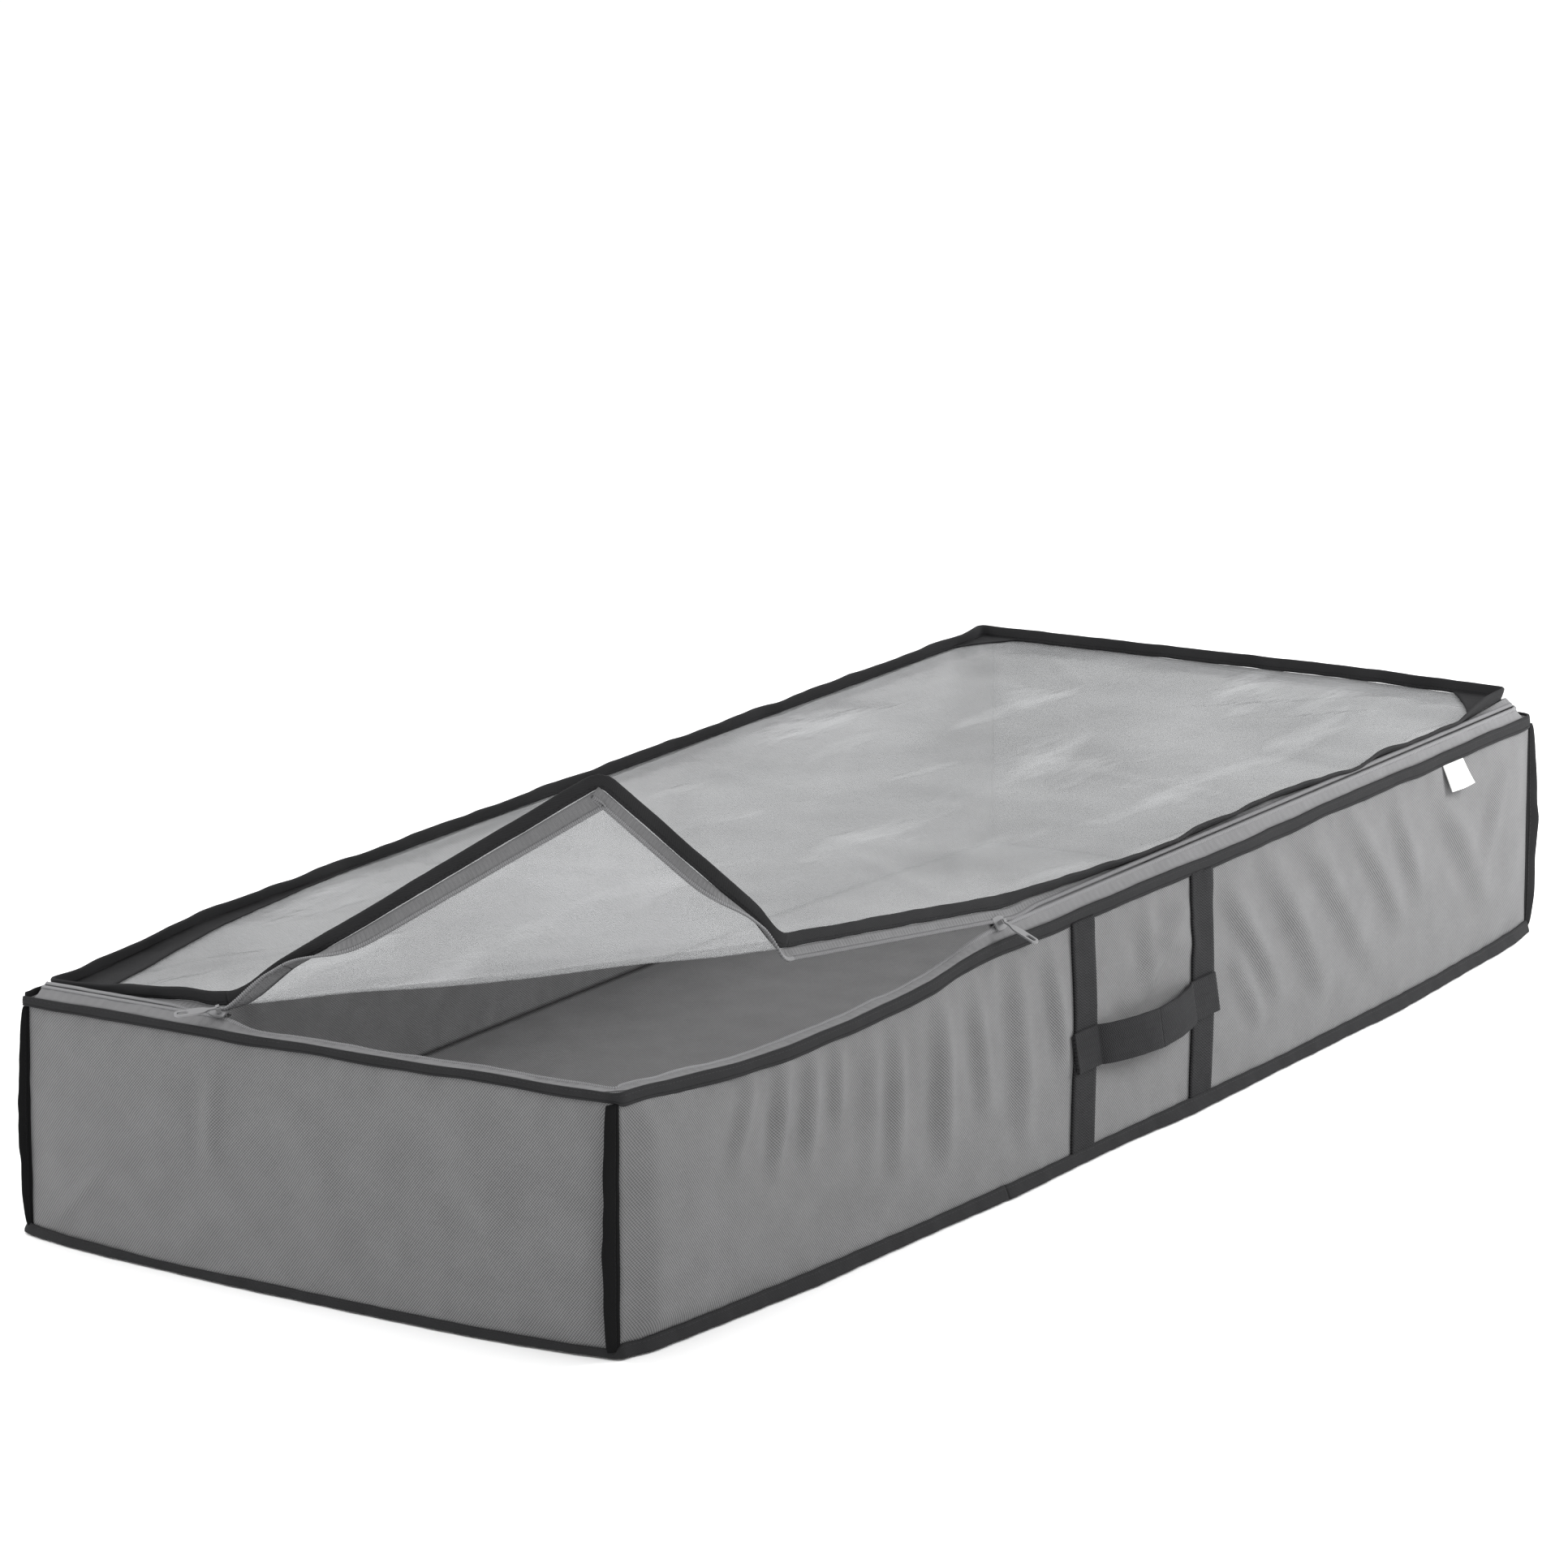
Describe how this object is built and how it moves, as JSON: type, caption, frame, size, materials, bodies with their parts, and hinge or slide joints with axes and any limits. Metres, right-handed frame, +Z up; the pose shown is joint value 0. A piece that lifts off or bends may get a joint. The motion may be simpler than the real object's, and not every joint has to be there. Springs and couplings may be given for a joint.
{
  "type": "under bed box",
  "caption": "Low soft-sided under bed storage bag in grey fabric with dark bound seams, a clear zipped lid with one corner folded open, and a webbing handle on the long side",
  "frame": {"origin": "centre of the base, on the floor", "axes": "+X along the length, away from the zip's open end; -Y the long side with the handle; +Z up"},
  "size_m": [1.1026, 0.4774, 0.3192],
  "materials": {
    "grey_fabric": "matt non-woven with a fine diagonal emboss",
    "binding_tape": "matt charcoal binding",
    "zip_tape": "matt woven zip tape",
    "zip_coil": "nylon coil",
    "clear_window": "clear soft vinyl",
    "slider_metal": "grey lacquered",
    "webbing": "ribbed polypropylene webbing",
    "label_white": "satin tape"
  },
  "bodies": {
    "box": {"bottom_panel": "grey_fabric", "front_panel": "grey_fabric", "back_panel": "grey_fabric", "near_end_panel": "grey_fabric", "far_end_panel": "grey_fabric", "bottom_binding": "binding_tape", "rim_binding": "binding_tape", "back_seam_binding": "binding_tape", "corner_binding_near_front": "binding_tape", "corner_binding_near_back": "binding_tape", "corner_binding_far_front": "binding_tape", "corner_binding_far_back": "binding_tape", "box_zip_tape": "zip_tape", "box_zip_coil": "zip_coil", "handle_strap_left": "webbing", "handle_strap_right": "webbing", "handle_end_left": "webbing", "handle_end_right": "webbing", "label": "label_white"},
    "lid": {"lid_window": "clear_window", "lid_binding": "binding_tape", "lid_end_zip_tape": "zip_tape", "lid_end_zip_coil": "zip_coil", "lid_front_zip_tape": "zip_tape", "lid_front_zip_coil": "zip_coil"},
    "fold": {"fold_window": "clear_window", "fold_binding": "binding_tape", "fold_zip_tape": "zip_tape", "fold_zip_coil": "zip_coil"},
    "flap": {"flap_window": "clear_window", "flap_binding": "binding_tape"},
    "flap_end_tape": {"flap_end_zip_tape": "zip_tape", "flap_end_zip_coil": "zip_coil"},
    "flap_front_tape": {"flap_front_zip_tape": "zip_tape", "flap_front_zip_coil": "zip_coil"},
    "end_slider": {"end_slider": "slider_metal"},
    "end_pull": {"end_pull": "slider_metal"},
    "front_slider": {"front_slider": "slider_metal"},
    "front_pull": {"front_pull": "slider_metal"},
    "handle": {"handle_bow": "webbing"}
  },
  "joints": [
    {"name": "lid_hinge", "type": "hinge", "parent": "box", "child": "lid", "pos_m": [0, 0.21, 0.152], "axis": [-1, 0, 0], "range_deg": [0, 180]},
    {"name": "lid_fold", "type": "hinge", "parent": "lid", "child": "fold", "pos_m": [-0.5125, 0.0752, 0.15661], "axis": [-0.8165, 0.577, -0.0198], "range_deg": [-12.5, 2.5]},
    {"name": "corner_fold", "type": "hinge", "parent": "fold", "child": "flap", "pos_m": [-0.5125, 0.0752, 0.15661], "axis": [-0.532, 0.8391, -0.1132], "range_deg": [-47.5, 9.5]},
    {"name": "end_tape_turn", "type": "hinge", "parent": "flap", "child": "flap_end_tape", "pos_m": [-0.45686, -0.14711, 0.30747], "axis": [0.2028, -0.8103, 0.5498], "range_deg": [-105, 21]},
    {"name": "front_tape_turn", "type": "hinge", "parent": "flap", "child": "flap_front_tape", "pos_m": [-0.45686, -0.14711, 0.30747], "axis": [0.6828, -0.2854, -0.6725], "range_deg": [-80, 16]},
    {"name": "end_slider_slide", "type": "slide", "parent": "box", "child": "end_slider", "axis": [0, 0.9999, -0.0171], "range_m": [-0.23, 0.115]},
    {"name": "end_pull_hinge", "type": "hinge", "parent": "end_slider", "child": "end_pull", "pos_m": [-0.52418, 0.07528, 0.15791], "axis": [0.6277, 0.748, 0.2157], "range_deg": [0, 100]},
    {"name": "front_slider_slide", "type": "slide", "parent": "box", "child": "front_slider", "axis": [1, 0, 0], "range_m": [-0.31, 0.62]},
    {"name": "front_pull_hinge", "type": "hinge", "parent": "front_slider", "child": "front_pull", "pos_m": [-0.1245, -0.20854, 0.16078], "axis": [-1, 0, 0], "range_deg": [0, 110]},
    {"name": "handle_swing", "type": "hinge", "parent": "box", "child": "handle", "pos_m": [0.0157, -0.22515, 0.068], "axis": [-1, 0, 0], "range_deg": [-20, 30]}
  ],
  "couplings": [
    {"joint": "lid_fold", "follows": "corner_fold", "ratio": 0.26316},
    {"joint": "end_tape_turn", "follows": "corner_fold", "ratio": 2.2105},
    {"joint": "front_tape_turn", "follows": "corner_fold", "ratio": 1.6842}
  ]
}
